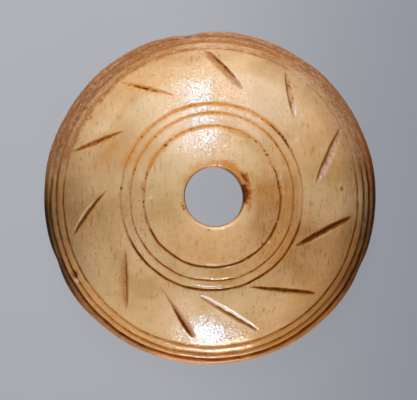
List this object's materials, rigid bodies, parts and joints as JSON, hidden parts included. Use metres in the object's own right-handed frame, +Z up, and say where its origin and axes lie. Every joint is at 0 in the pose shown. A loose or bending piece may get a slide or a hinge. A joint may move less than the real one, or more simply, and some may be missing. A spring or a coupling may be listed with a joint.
{
  "type": "spindle whorl",
  "caption": "Round bone disc with a flat underside, a domed top cut with rings, slanting nicks and rim grooves, and a bore that grips a hand spindle.",
  "frame": {"origin": "centre of the disc's outline on the flat underside, where the disc rests", "axes": "+Z up the bore and out of the domed top; +X to the right and +Y to the top when the domed face is seen as in the picture"},
  "size_m": [0.0332, 0.0333, 0.0088],
  "materials": {
    "bone": "satin"
  },
  "bodies": {
    "root": {"whorl": "bone"}
  },
  "joints": []
}
